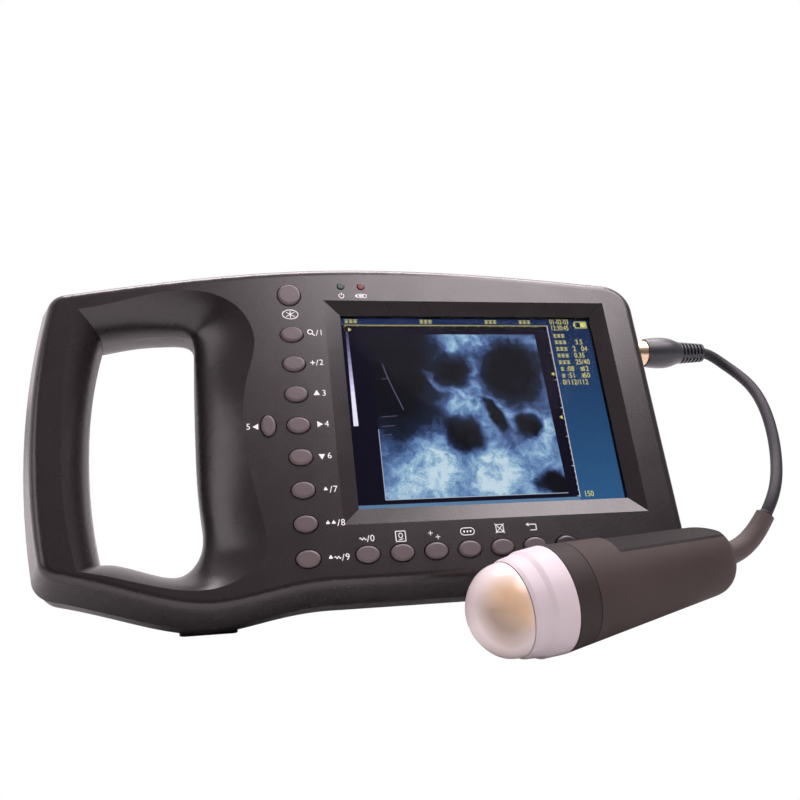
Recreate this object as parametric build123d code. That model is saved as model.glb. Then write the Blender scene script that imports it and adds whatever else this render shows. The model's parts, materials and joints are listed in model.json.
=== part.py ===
from build123d import *
import math
import os

# Hand-held ultrasound scanner with a mechanical sector probe.
#
# The unit is drawn lying on its back in its own panel frame: x to the right, y up the
# panel, z out of the panel, with z = 0 on the back and the display centred on x = y = 0.
# It is then tilted back on its kickstand.  The probe is drawn along its own axis.
# Everything is in millimetres.

# ------------------------------------------------------------------ driving dimensions
LEAN = 27.6             # how far the standing unit leans back from upright, degrees
PART_Z = 22.0           # height of the joint between the two shells
FACE_Z = 38.0           # front face of the panel
GLASS_Z = 35.0          # ledge that the display window sits behind
WALL = 2.4              # shell wall
FLARE = 15.0            # draft of the front shell's sides, degrees
BACK_DRAFT = 3.0        # draft of the rear shell's sides, degrees
FACE_ROUND = 4.0        # fillet round the front face
BACK_ROUND = 8.0        # fillet round the back
SEAM = 0.3              # step between the two shells at their joint
LEFT_X = -180.2         # furthest point of the handle
CORNER_X = -174.5       # its top and bottom corners
RIGHT_X = 81.0          # right-hand side at the shell joint
BOTTOM_Y = -75.7        # straight part of the bottom edge
BELLY_DROP = 5.7        # the bottom edge under the hand hole is this much lower

SCREEN_W = 112.9        # visible width of the display
SCREEN_H = 84.7         # visible height of the display
BEZEL_W = 126.3         # bevelled surround, outer width
BEZEL_H = 97.1          # bevelled surround, outer height

KEY_W = 9.0             # oval key
KEY_H = 6.5
KEY_GAP = 0.45          # gap all round a key
KEY_PROUD = 1.3         # height of a key over the face
KEY_TRAVEL = 0.8        # how far a key goes down
KEY_FLANGE = 1.0        # lip that keeps a key in, beyond its hole
KEY_PITCH = 13.3
COLUMN_X = -77.7        # column of keys beside the display
COLUMN_TOP_Y = 31.6
ROUND_KEY_Y = 50.0      # round key over the column
LEFT_KEY_X = -89.4      # upright key to the left of the column
ROW_X = -55.3           # row of keys under the display
ROW_Y = -61.0
LED_X = (-55.6, -47.0)  # the two lamps
LED_Y = 54.7
LED_R = 1.65

BOARD_BOTTOM = 23.0     # main board
BOARD_TOP = 24.6
BAY = (-66.0, 12.0, 25.5, 53.0)     # battery bay, x and y limits
BAY_Z = 21.0            # top of the battery bay's walls
COVER_EDGE = 8.0        # the battery cover reaches this far past the bay
COVER_T = 1.9
CONTACT_X = (-34.0, -28.0, -22.0)   # blades that reach from the main board into the bay
CASE_SCREWS = ((-169.5, 34), (-168, -50), (-95, 57), (-89, -70), (70, 49), (69, -64))
BOARD_SCREWS = ((-56, -58), (56, -58), (56, 44), (18, 55))
COVER_SCREWS = ((-70.5, 39), (16.5, 39))

PLUG_Y = 32.0           # probe connector on the right-hand side
PLUG_Z = 20.0
PLUG_R = 5.9
PLUG_OUT = 20.0         # how far the plug draws out
SOCKET_R = 8.4
SOCKET_CLEAR = 0.1      # radial clearance of the plug in its socket
PIN_R = 0.5
PIN_CIRCLE = 3.6
PIN_COUNT = 6
VIDEO_Y = 6.0           # small sockets under the probe socket
CHARGE_Y = -10.0
JACK_Z = 12.0
JACK_R = 4.0
VIDEO_R = 1.8           # bore of the video socket
CHARGE_R = 2.8          # bore of the charging socket

STAND_W = 64.0          # kickstand
STAND_T = 4.0
STAND_X0 = -76.0
STAND_HINGE_Y = 19.0
STAND_PIN_R = 1.5
STAND_LEG = 92.0
STAND_OPEN = 50.0       # degrees
PAD = 0.5               # thinnest part of the left rubber foot
FOOT_X = ((-124, -102), (24, 60))    # the two rubber feet
FOOT_FRONT = 0.8        # they start this far in front of the lowest line of the back edge
FOOT_DEEP = 5.8

PROBE_LENGTH = 79.6     # handle of the probe, rim to tail
PROBE_HEAD_R = 19.4
PROBE_TAIL_R = 13.5
HANDLE_WALL = 4.0
COLLAR_X = 9.5          # joint between the collar and the handle
GRIP_X0 = 24.0          # front end of the thumb flat
GRIP_DEPTH = 2.4        # the thumb flat is cut this deep into the tapered handle
RING_BACK = -0.3        # the white ring, from the collar forwards
RING_STEP = -8.5
RING_FRONT = -16.4
PROBE_NOSE = 31.4       # ring and dome
DOME_R = 16.6
DOME_WALL = 1.6
PIVOT_X = -16.0         # the transducer's axle
PIVOT_R = 1.5
CRADLE_R = 2.8          # hub of the transducer's carrier
PLATE_X = 0.5           # back plate of the probe's frame
PROBE_YAW = 11.7        # heading of the probe on the table, degrees
PROBE_PITCH = 5.5       # the cable lifts its tail a little, degrees
PROBE_RAISED = 0.6      # height of the rim's lowest point over the table
PROBE_X = 3.6           # middle of the probe's front rim over the table
PROBE_Y = -94.0
SWING = 35.0            # the probe swings this far away from the unit, degrees (a joint of the record)
ROCK = 30.0             # the transducer rocks this far to each side, degrees (a joint of the record)

MODULE = 0.5            # gear teeth between the motor and the transducer
SECTOR_TEETH = 36       # teeth of the full circle that the sector is cut from
PINION_TEETH = 10
PRESSURE = 20.0         # degrees
BACKLASH = 0.14
SECTOR_TIP = 0.3        # short teeth, so that they clear the pinion's roots
SECTOR_SPAN = 50.0      # teeth to each side of the middle, degrees
MOTOR_R = 4.2
MOTOR_X = PIVOT_X + MODULE * (SECTOR_TEETH + PINION_TEETH) / 2

CABLE_R = 2.4
SLEEVE_R = 4.6          # bent rubber sleeve at the tail
SLEEVE_END_R = 3.7
SLEEVE_RISE = 50.0      # the sleeve bends this far up from the probe's axis, degrees
BALL_X = 105.6          # middle of the cable's round end, in the probe's own frame
BALL_Z = 12.3
BALL_R = 2.7
CUP_R = 2.9
RELIEF_X = 117.5        # end of the plug's ribbed tail
# Way of the cable from the plug to the probe, in the standing attitude.
CABLE_WAY = ((127.2, -6, 101.7), (132.2, -19, 93.0), (129.8, -38, 79.0), (120.6, -58, 60.5))


# ------------------------------------------------------------------ small helpers
def block(x0, x1, y0, y1, z0, z1):
    """A box between two corners."""
    size = Box(x1 - x0, y1 - y0, z1 - z0)
    return Pos((x0 + x1) / 2, (y0 + y1) / 2, (z0 + z1) / 2) * size


def post(x, y, r, z0, z1):
    """A round post along z."""
    return Pos(x, y, (z0 + z1) / 2) * Cylinder(r, z1 - z0)


def bar_x(y, z, r, x0, x1):
    """A round bar along x."""
    return Pos((x0 + x1) / 2, y, z) * Rot(0, 90, 0) * Cylinder(r, x1 - x0)


def oval(x, y, w, h, z0, z1):
    """An oval prism along z."""
    return Pos(x, y, z0) * extrude(Ellipse(w / 2, h / 2), z1 - z0)


def tube_x(y, z, r_out, r_in, x0, x1):
    """A round tube along x."""
    return bar_x(y, z, r_out, x0, x1) - bar_x(y, z, r_in, x0 - 1, x1 + 1)


def turned(points):
    """A solid of revolution about x from (x, r) points joined by straight lines."""
    start, end = points[0], points[-1]
    outline = [(start[0], 0)] + list(points) + [(end[0], 0), (start[0], 0)]
    return revolve(make_face(Polyline(*outline)), Axis.X)


# ------------------------------------------------------------------ outline of the unit
def body_face(inset=0.0):
    """The unit's outline at the joint between its shells, or that outline drawn in by inset."""
    right_x = RIGHT_X - inset
    bottom_y = BOTTOM_Y + inset
    top_left = (CORNER_X + inset, 53.0 - inset)
    top_right = (right_x, 60.5 - inset)
    bottom_right = (right_x, bottom_y)
    bottom_left = (CORNER_X + inset, -66.5 + inset)
    top = Spline(top_left, (-118, 62 - inset), (-70, 67.0 - inset), (-30, 67.8 - inset), top_right)
    right = Line(top_right, bottom_right)
    bottom = Line(bottom_right, (-66, bottom_y))
    belly = Spline((-66, bottom_y), (-113, bottom_y - BELLY_DROP), bottom_left, tangents=((-1, 0), (-1, 0.2)))
    left = ThreePointArc(bottom_left, (LEFT_X + inset, -8), top_left)
    face = make_face([top, right, bottom, belly, left])
    rounds = ((top_left, 8), (bottom_left, 9), (top_right, 14), (bottom_right, 13))
    for spot, radius in rounds:
        corner = min(face.vertices(), key=lambda v: (Vector(v) - Vector(*spot)).length)
        face = fillet(corner, radius - inset / 4)
    return face


def body_slab(z0, inset0, z1, inset1):
    """The unit's outline carried from z0 to z1 while it draws in from inset0 to inset1."""
    lower = Pos(0, 0, z0) * body_face(inset0).wire()
    upper = Pos(0, 0, z1) * body_face(inset1).wire()
    return Solid.make_loft([lower, upper], ruled=True)


def back_round(inset, z, radius):
    """The rounded edge of the back: sections that draw in along a quarter circle."""
    wires = []
    for turn in (0, 22.5, 45, 67.5, 90):
        drop = radius * math.sin(math.radians(turn))
        draw = radius * (1 - math.cos(math.radians(turn)))
        wires.append(Pos(0, 0, z + radius - drop) * body_face(inset + draw).wire())
    return Solid.make_loft(wires)


# Ends of the hand hole's roll: the crease on the face, and the throat at the shell joint.
# Each list runs clockwise from the top left corner to the bottom left one.
CREASE_RIGHT = [(-160.6, 42.9), (-141, 47.8), (-119, 52.0), (-101.5, 46.8), (-93.0, 31.5), (-97.0, 11),
                (-98.7, -14), (-94.6, -40), (-93.6, -58), (-108, -69.4), (-132, -68.3), (-158.6, -61.5)]
CREASE_LEFT = [(-158.6, -61.5), (-163.9, -35), (-165.3, -3), (-163.8, 26), (-160.6, 42.9)]
THROAT_RIGHT = [(-152.2, 35.6), (-141, 37.9), (-127, 39.2), (-118.2, 37.6), (-116.4, 28), (-116.7, 9),
                (-116.7, -14), (-115.6, -38), (-116.2, -54.5), (-122.5, -61.4), (-135.5, -59.8), (-151.6, -56.4)]
THROAT_LEFT = [(-151.6, -56.4), (-155.4, -33), (-156.5, -5), (-154.2, 24), (-152.2, 35.6)]
HOLE_CENTRE = (-134, -10)


def hole_wire(roll, z, grow=0.0):
    """A section of the hand hole: roll is 0 at the crease and 1 at the throat."""
    edges = []
    for crease, throat in ((CREASE_RIGHT, THROAT_RIGHT), (CREASE_LEFT, THROAT_LEFT)):
        points = []
        for (cx, cy), (tx, ty) in zip(crease, throat):
            x = cx + (tx - cx) * roll
            y = cy + (ty - cy) * roll
            dx, dy = x - HOLE_CENTRE[0], y - HOLE_CENTRE[1]
            reach = math.hypot(dx, dy)
            points.append((x + dx / reach * grow, y + dy / reach * grow, z))
        edges.append(Spline(*points))
    return Wire(edges)


def hole_cut():
    """The space of the hand hole through both shells, with its rounded front roll."""
    depth = FACE_Z - PART_Z
    heights = [0, 0.25, 0.5, 0.75, 1.0]
    sections = [hole_wire(1 - h * h, PART_Z + h * depth) for h in heights]
    front = Solid.make_loft(sections)
    above = Solid.make_loft([hole_wire(0, FACE_Z), hole_wire(0, FACE_Z + 6, 6)], ruled=True)
    flared = [hole_wire(1, 0, 7), hole_wire(1, 7, 3), hole_wire(1, 14, 1), hole_wire(1, PART_Z)]
    back = Solid.make_loft(flared)
    below = Solid.make_loft([hole_wire(1, -4, 12), hole_wire(1, 0, 7)], ruled=True)
    return front, above, back, below


def hole_sleeve():
    """The solid left round the hand hole inside the shells."""
    front = Solid.make_loft([hole_wire(1, PART_Z, WALL), hole_wire(0, FACE_Z, WALL + 1)], ruled=True)
    back = Solid.make_loft([hole_wire(1, 0, 7 + WALL), hole_wire(1, PART_Z, WALL)], ruled=True)
    return front, back


# ------------------------------------------------------------------ keys
def key_places():
    """Name, x, y, width and height of every key."""
    column = ["zoom", "plus", "up", "right", "down", "b", "bb", "bm"]
    row = ["m", "bodymark", "measure", "text", "clear", "enter", "power"]
    places = [("freeze", COLUMN_X, ROUND_KEY_Y, KEY_W + 0.4, KEY_W + 0.4)]
    for i, name in enumerate(column):
        places.append((name, COLUMN_X, COLUMN_TOP_Y - i * KEY_PITCH, KEY_W, KEY_H))
    for i, name in enumerate(row):
        places.append((name, ROW_X + i * KEY_PITCH, ROW_Y, KEY_W, KEY_H))
    places.append(("left", LEFT_KEY_X, COLUMN_TOP_Y - 3 * KEY_PITCH, KEY_H - 0.8, KEY_W - 0.4))
    return places


ROOF_Z = FACE_Z - 2.5           # inner side of the front wall
FLANGE_TOP = ROOF_Z - 0.1
FLANGE_BOTTOM = FLANGE_TOP - 1.0
STEM_BOTTOM = FLANGE_BOTTOM - 1.2
MAT_TOP = STEM_BOTTOM - KEY_TRAVEL - 0.1
MAT_BOTTOM = MAT_TOP - 0.8
SWITCH_TOP = MAT_BOTTOM - 0.05
KEYBOARD_TOP = SWITCH_TOP - 1.4
KEYBOARD_BOTTOM = KEYBOARD_TOP - 1.6


def key_cap(x, y, w, h):
    """One key: a domed cap, the lip that keeps it in, and its stem."""
    cap = oval(x, y, w, h, FLANGE_BOTTOM, FACE_Z + KEY_PROUD)
    rim = cap.edges().filter_by(GeomType.ELLIPSE).sort_by(Axis.Z)[-1:]
    if not rim:
        rim = cap.edges().filter_by(GeomType.CIRCLE).sort_by(Axis.Z)[-1:]
    cap = fillet(rim, 0.9)
    more = 2 * (KEY_GAP + KEY_FLANGE)
    lip = oval(x, y, w + more, h + more, FLANGE_BOTTOM, FLANGE_TOP)
    stem = post(x, y, 1.6, STEM_BOTTOM, FLANGE_BOTTOM + 0.5)
    return cap + lip + stem


def key_holes():
    """The oval openings for the keys, and the round ones for the two lamps."""
    cuts = []
    for _, x, y, w, h in key_places():
        cuts.append(oval(x, y, w + 2 * KEY_GAP, h + 2 * KEY_GAP, ROOF_Z - 1, FACE_Z + 1))
    for x in LED_X:
        cuts.append(post(x, LED_Y, LED_R + 0.05, ROOF_Z - 1, FACE_Z + 1))
    return cuts


STAND_PIN_Z = STAND_T / 2
STAND_X1 = STAND_X0 + STAND_W
POCKET_Z = STAND_T + 0.6        # recess of the folded kickstand
POCKET = (STAND_X0 - 0.6, STAND_X1 + 0.6, STAND_HINGE_Y - STAND_LEG - 3, STAND_HINGE_Y + 4)


# ------------------------------------------------------------------ shells
def front_shell():
    depth = FACE_Z - PART_Z
    flare = math.tan(math.radians(FLARE))
    solid = body_slab(PART_Z, 0, FACE_Z, depth * flare)
    solid = fillet(solid.faces().sort_by(Axis.Z)[-1].outer_wire().edges(), FACE_ROUND)
    space = body_slab(PART_Z, WALL, ROOF_Z, WALL + (ROOF_Z - PART_Z) * flare)
    sleeve, _ = hole_sleeve()
    space -= sleeve
    space -= panel_block(8, 8, GLASS_Z - 2.4, ROOF_Z)
    for x, y in CASE_SCREWS:
        space -= post(x, y, 3.2, PART_Z, ROOF_Z)
    solid -= space
    front, above, _, _ = hole_cut()
    solid -= front
    solid -= above
    bevel = Solid.make_loft([
        Pos(0, 0, GLASS_Z) * Rectangle(SCREEN_W, SCREEN_H).wire(),
        Pos(-0.4, -0.6, FACE_Z) * Rectangle(BEZEL_W, BEZEL_H).wire(),
    ], ruled=True)
    solid -= bevel
    solid -= Pos(-0.4, -0.6, FACE_Z + 1) * Box(BEZEL_W, BEZEL_H, 2)
    solid -= panel_block(0, 0, 30, GLASS_Z + 0.01)
    solid -= panel_block(2.2, 2.2, 30, GLASS_Z - 0.4)
    for cut in key_holes():
        solid -= cut
    for x, y in CASE_SCREWS:
        solid -= post(x, y, 1.3, PART_Z - 1, 33)
    solid -= bar_x(PLUG_Y, PLUG_Z, 8.5, 70, 90)
    return solid


def rear_outer():
    """The outside of the rear shell, before anything is cut from it."""
    draft = math.tan(math.radians(BACK_DRAFT))
    at_round = SEAM + (PART_Z - BACK_ROUND) * draft
    return body_slab(PART_Z, SEAM, BACK_ROUND, at_round) + back_round(at_round, 0, BACK_ROUND)


def rear_space():
    """The hollow of the rear shell, with its bosses and pockets left solid."""
    draft = math.tan(math.radians(BACK_DRAFT))
    at_round = SEAM + WALL + (PART_Z - BACK_ROUND) * draft
    space = body_slab(PART_Z, WALL, BACK_ROUND, at_round)
    space += back_round(at_round, WALL, BACK_ROUND - WALL)
    _, sleeve = hole_sleeve()
    space -= sleeve
    x0, x1, y0, y1 = POCKET
    space -= block(x0 - WALL, x1 + WALL, y0 - 20, y1 + 1.5, 0, POCKET_Z + WALL)
    bx0, bx1, by0, by1 = BAY
    space -= block(bx0 - 1.6, bx1 + 1.6, by0 - 1.6, by1 + 1.6, 0, BAY_Z)
    space -= block(bx0 - COVER_EDGE - 2, bx1 + COVER_EDGE + 2, by0 - 1.6, by1 + 5, 0, 4.6)
    for x, y in CASE_SCREWS:
        space -= post(x, y, 3.8, 0, PART_Z)
    for x, y in BOARD_SCREWS:
        space -= post(x, y, 2.6, 0, PART_Z + 1)
    for x, y in COVER_SCREWS:
        space -= post(x, y, 2.8, 0, 9.5)
    return space


def rear_shell():
    solid = rear_outer() - rear_space()
    _, _, back, below = hole_cut()
    solid -= back
    solid -= below
    x0, x1, y0, y1 = POCKET
    solid -= block(x0, x1, y0, y1, -1, POCKET_Z)
    bx0, bx1, by0, by1 = BAY
    solid -= block(bx0, bx1, by0, by1, -1, BAY_Z - 1.6)
    solid -= block(bx0 - COVER_EDGE, bx1 + COVER_EDGE, by0 - 0.2, by1 + 3.5, -1, COVER_T + 0.1)
    for x in CONTACT_X:
        solid -= block(x - 0.8, x + 0.8, 39, 43, BAY_Z - 2, BAY_Z + 1)
    for x, y in CASE_SCREWS:
        solid -= post(x, y, 1.5, -1, PART_Z + 1)
        solid -= post(x, y, 2.7, -1, 6)
    for x, y in BOARD_SCREWS:
        solid += post(x, y, 2.6, PART_Z - 8, BOARD_BOTTOM - 0.05)
        solid -= post(x, y, 1.3, PART_Z - 8, PART_Z + 2)
    for x, y in COVER_SCREWS:
        solid -= post(x, y, 1.3, 0, 8.5)
    solid -= bar_x(PLUG_Y, PLUG_Z, SOCKET_R + 0.1, 70, 90)
    for y in (VIDEO_Y, CHARGE_Y):
        solid -= bar_x(y, JACK_Z, JACK_R + 0.05, 70, 90)
    solid -= bar_x(STAND_HINGE_Y, STAND_PIN_Z, STAND_PIN_R + 0.03, STAND_X0 - 3, STAND_X1 + 3)
    return solid


# ------------------------------------------------------------------ inside the unit
def panel_block(margin_x, margin_y, z0, z1):
    """A plate centred behind the display, larger than it by the margins."""
    x, y = SCREEN_W / 2 + margin_x, SCREEN_H / 2 + margin_y
    return block(-x, x, -y, y, z0, z1)


def screen_window():
    return panel_block(1.8, 1.8, GLASS_Z - 2, GLASS_Z - 0.45)


def lcd_panel():
    return panel_block(5, 5, 28.0, GLASS_Z - 2.6)


def lcd_frame():
    return panel_block(8, 8, 26.2, 30) - panel_block(5.2, 5.2, 27.8, 31)


def keyboard_plate(grow, z0, z1):
    """The L-shaped plate under the keys."""
    column = block(-91 - grow, -70 + grow, -66 - grow, 56 + grow, z0, z1)
    row = block(-90, 33 + grow, -66 - grow, -55 + grow, z0, z1)
    wing = block(-94.3 - grow, -90, -16, 0, z0, z1)
    return column + row + wing


def keypad_board():
    board = keyboard_plate(0, KEYBOARD_BOTTOM, KEYBOARD_TOP)
    for _, x, y, _, _ in key_places():
        board += post(x, y, 2.1, KEYBOARD_TOP - 0.1, SWITCH_TOP)
    return board


def key_mat():
    return keyboard_plate(-0.3, MAT_BOTTOM, MAT_TOP)


def main_board():
    """The main board with its chips and the blades that reach into the battery bay."""
    board = block(-62, 62, -66, 58, BOARD_BOTTOM, BOARD_TOP)
    chips = [(-20, -20, 9), (6, -18, 7), (30, -22, 7), (-10, 14, 8), (24, 16, 6), (-40, 30, 5)]
    for x, y, half in chips:
        board += block(x - half, x + half, y - half, y + half, BOARD_TOP - 0.1, BOARD_TOP + 1.3)
    for x in CONTACT_X:
        board += block(x - 0.5, x + 0.5, 39.5, 42.5, BAY_Z - 2.2, BOARD_BOTTOM + 0.1)
    for x, y in BOARD_SCREWS:
        board -= post(x, y, 1.4, BOARD_BOTTOM - 1, BOARD_TOP + 1)
    return board


def lamp(x):
    """A small light pipe with a shoulder behind the panel."""
    lens = post(x, LED_Y, LED_R, FLANGE_BOTTOM, FACE_Z + 0.5)
    lens = fillet(lens.edges().filter_by(GeomType.CIRCLE).sort_by(Axis.Z)[-1:], 0.5)
    return lens + post(x, LED_Y, LED_R + 0.8, FLANGE_BOTTOM, FLANGE_TOP)


def scan_board():
    return block(-52, 24, -56, 15, 8.4, 10)


def shield_can():
    return block(-50, 22, -54, 13, 10.05, 19) - block(-49.5, 21.5, -53.5, 12.5, 9, 18.5)


def battery_pack():
    x0, x1, y0, y1 = BAY
    pack = block(x0 + 1.5, x1 - 1.5, y0 + 1, y1 - 1, 2.4, BAY_Z - 2.3)
    return fillet(pack.edges().filter_by(Axis.Z), 3)


def battery_cover():
    x0, x1, y0, y1 = BAY
    cover = block(x0 - COVER_EDGE + 0.2, x1 + COVER_EDGE - 0.2, y0, y1 + 3.3, 0.1, COVER_T)
    cover = fillet(cover.edges().filter_by(Axis.Z), 2)
    for x, y in COVER_SCREWS:
        cover -= post(x, y, 1.5, -1, 3)
        cover -= Pos(x, y, 0.6) * Cone(3.2, 1.5, 1.3)
    for k in range(4):
        cover -= block(-37, -17, 30 + 3 * k, 31 + 3 * k, 0, 0.7)
    return cover


def screw(x, y, head_z, head_r, shank_r, tip_z):
    """A pan-head screw driven towards +z, with a cross recess in its head."""
    body = post(x, y, head_r, head_z, head_z + 1.6) + post(x, y, shank_r, head_z + 1, tip_z)
    slot = block(x - head_r * 0.6, x + head_r * 0.6, y - 0.35, y + 0.35, head_z - 1, head_z + 0.8)
    return body - slot - Pos(x, y, 0) * Rot(0, 0, 90) * Pos(-x, -y, 0) * slot


def case_screws():
    return Compound(children=[screw(x, y, 4.2, 2.5, 1.2, 31) for x, y in CASE_SCREWS])


def cover_screws():
    screws = []
    for x, y in COVER_SCREWS:
        cone = Pos(x, y, 0.65) * Cone(2.9, 1.2, 1.1)
        slot = block(x - 1.6, x + 1.6, y - 0.3, y + 0.3, 0, 0.6)
        screws.append(cone + post(x, y, 1.2, 0.8, 8) - slot)
    return Compound(children=screws)


def board_screws():
    turned_over = []
    for x, y in BOARD_SCREWS:
        head = post(x, y, 2.2, BOARD_TOP + 0.05, BOARD_TOP + 1.4)
        turned_over.append(head + post(x, y, 1.2, 15.5, BOARD_TOP + 1))
    return Compound(children=turned_over)


def clock_cell():
    return post(45, -10, 8, 20.6, BOARD_BOTTOM - 0.05)


def flex_cables():
    """The flat cables from the main board to the display and to the keypad."""
    display = block(-14, 14, -52.7, -52.3, BOARD_TOP + 0.05, 29.2)
    display += block(-14, 14, -52.7, -50.5, 28.9, 29.2)
    keypad = block(-79.9, -79.6, -6, 6, BOARD_BOTTOM - 0.35, KEYBOARD_BOTTOM - 0.05)
    keypad += block(-79.9, -60, -6, 6, BOARD_BOTTOM - 0.35, BOARD_BOTTOM - 0.05)
    return Compound(children=[display, keypad])


# ------------------------------------------------------------------ connectors
SOCKET_OUT = RIGHT_X + 0.2      # outer face of the probe socket
SOCKET_FLOOR = 72.0


def around_plug(make):
    """Repeat a small solid on the plug's pin circle."""
    solids = []
    for i in range(PIN_COUNT):
        turn = math.radians(360 / PIN_COUNT * i + 30)
        solids.append(make(PLUG_Y + PIN_CIRCLE * math.cos(turn), PLUG_Z + PIN_CIRCLE * math.sin(turn)))
    return solids


def probe_socket():
    body = bar_x(PLUG_Y, PLUG_Z, SOCKET_R, 66, SOCKET_OUT)
    body -= bar_x(PLUG_Y, PLUG_Z, PLUG_R + SOCKET_CLEAR, SOCKET_FLOOR, SOCKET_OUT + 1)
    for hole in around_plug(lambda y, z: bar_x(y, z, PIN_R + 0.1, 66.6, SOCKET_FLOOR + 1)):
        body -= hole
    return body


def jack(y, bore_r, pin_r):
    face_x = 80.6
    body = bar_x(y, JACK_Z, JACK_R, 66, face_x) - bar_x(y, JACK_Z, bore_r, 68, face_x + 1)
    if pin_r:
        body += bar_x(y, JACK_Z, pin_r, 67, face_x - 1)
    return body


def plug_shell():
    return tube_x(PLUG_Y, PLUG_Z, PLUG_R, PLUG_R - 0.6, SOCKET_FLOOR + 0.4, 89)


def plug_insert():
    """The plug's core and its pins."""
    core = bar_x(PLUG_Y, PLUG_Z, PLUG_R - 0.65, 80, 87.9)
    for pin in around_plug(lambda y, z: bar_x(y, z, PIN_R, 67.2, 80.5)):
        core += pin
    return core


RELIEF_START = 105.5
RIB_PITCH = 1.85
RIB_GAP = 0.9


def plug_overmold():
    """The rubber grip of the plug: a swelling body and a ribbed tail."""
    swell = Spline((88.0, 6.4), (94.5, 7.15), (100.5, 6.7), (RELIEF_START, 5.1), tangents=((1, 0.2), (1, -0.25)))
    tail = Line((RELIEF_START, 5.1), (RELIEF_X, 4.3))
    end = Line((RELIEF_X, 4.3), (RELIEF_X, 0))
    base = Line((RELIEF_X, 0), (88.0, 0))
    front = Line((88.0, 0), (88.0, 6.4))
    grip = revolve(make_face([swell, tail, end, base, front]), Axis.X)
    bridges = Rot(45, 0, 0) * (block(100, 120, -0.7, 0.7, -8, 8) + block(100, 120, -8, 8, -0.7, 0.7))
    for k in range(6):
        x = RELIEF_START + 0.6 + k * RIB_PITCH
        grip -= tube_x(0, 0, 6, 3.3, x, x + RIB_GAP) - bridges
    grip -= bar_x(0, 0, PLUG_R + 0.02, 87, 89.05)
    grip -= bar_x(0, 0, CABLE_R + 0.02, 112, 120)
    return Pos(0, PLUG_Y, PLUG_Z) * grip


# ------------------------------------------------------------------ kickstand
def in_stand(shape):
    """Swing a piece of the stand from folded to open."""
    hinge = Pos(0, STAND_HINGE_Y, STAND_PIN_Z)
    return hinge * Rot(STAND_OPEN, 0, 0) * hinge.inverse() * shape


def stand_leg():
    end_y = STAND_HINGE_Y - STAND_LEG
    leg = block(STAND_X0, STAND_X1, end_y, STAND_HINGE_Y, 0, STAND_T)
    leg = fillet(leg.edges().filter_by(Axis.Z).sort_by(Axis.Y)[:2], 6)
    leg += bar_x(STAND_HINGE_Y, STAND_PIN_Z, STAND_T / 2, STAND_X0, STAND_X1)
    bar = 14
    window = block(STAND_X0 + bar, STAND_X1 - bar, end_y + 18, STAND_HINGE_Y - 16, -1, STAND_T + 1)
    leg -= fillet(window.edges().filter_by(Axis.Z), 6)
    leg -= bar_x(STAND_HINGE_Y, STAND_PIN_Z, STAND_PIN_R + 0.03, STAND_X0 - 1, STAND_X1 + 1)
    return leg


def stand_pin():
    return bar_x(STAND_HINGE_Y, STAND_PIN_Z, STAND_PIN_R, STAND_X0 - 2.8, STAND_X1 + 2.8)


def stand_foot():
    """A rubber shoe on the end of the leg."""
    end_y = STAND_HINGE_Y - STAND_LEG
    x0, x1 = STAND_X0 + 7, STAND_X1 - 7
    return block(x0, x1, end_y - 8, end_y - 0.02, 0, STAND_T)


# ------------------------------------------------------------------ standing attitude
def belly_contact(bottom_y):
    """Where the rounded back edge under a bottom edge at bottom_y is lowest once tilted."""
    draft = math.tan(math.radians(BACK_DRAFT))
    centre_y = bottom_y + SEAM + (PART_Z - BACK_ROUND) * draft + BACK_ROUND
    lean = math.radians(LEAN)
    return centre_y - BACK_ROUND * math.cos(lean), BACK_ROUND * (1 - math.sin(lean))


def height_of(y, z):
    lean = math.radians(LEAN)
    return y * math.cos(lean) + z * math.sin(lean)


BELLY_Y = BOTTOM_Y - BELLY_DROP
LIFT = PAD - height_of(*belly_contact(BELLY_Y))
TILT = Pos(0, 0, LIFT) * Rot(90 - LEAN, 0, 0)


def standing(y, z, x=0.0):
    """A point of the panel frame, in the standing attitude."""
    return Vector(*(TILT * Pos(x, y, z)).position)


def rubber_feet():
    """Two pads under the bottom edge, cut flat where they meet the table."""
    outer = TILT * rear_outer()
    touch = standing(*belly_contact(BELLY_Y))
    feet = []
    for x0, x1 in FOOT_X:
        pad = block(x0, x1, touch.Y - FOOT_FRONT, touch.Y - FOOT_FRONT + FOOT_DEEP, 0, 8.5)
        pad = fillet(pad.edges().filter_by(Axis.Z), 2)
        feet.append(pad - outer)
    return Compound(children=feet)


# ------------------------------------------------------------------ probe
def probe_place():
    """From the probe's own frame, with +x from its rim to its tail, to the table."""
    pitch = math.radians(PROBE_PITCH)
    z = PROBE_HEAD_R / math.cos(pitch) + PROBE_RAISED
    return Pos(PROBE_X, PROBE_Y, z) * Rot(0, 0, PROBE_YAW) * Rot(0, -PROBE_PITCH, 0)


def probe_radius(x):
    """Radius of the handle at x along it."""
    return PROBE_HEAD_R + (PROBE_TAIL_R - PROBE_HEAD_R) * x / PROBE_LENGTH


def handle_solid(x0, shrink):
    """The tapered handle from x0 to its rounded tail."""
    end = PROBE_LENGTH - shrink
    bend = 8.0
    r0 = probe_radius(x0) - shrink
    r1 = probe_radius(end - bend) - shrink
    start = Line((x0, 0), (x0, r0))
    side = Line((x0, r0), (end - bend, r1))
    slope = (r1 - r0) / (end - bend - x0)
    tail = Spline((end - bend, r1), (end, r1 - bend), tangents=((1, slope), (0, -1)))
    close = Line((end, r1 - bend), (end, 0))
    base = Line((end, 0), (x0, 0))
    return revolve(make_face([start, side, tail, close, base]), Axis.X)


def probe_handle():
    body = handle_solid(COLLAR_X, 0) - handle_solid(COLLAR_X - 1, HANDLE_WALL)
    body -= bar_x(0, 0, SLEEVE_R + 0.02, PROBE_LENGTH - 10, PROBE_LENGTH + 5)
    body -= grip_space()
    return body


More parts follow.
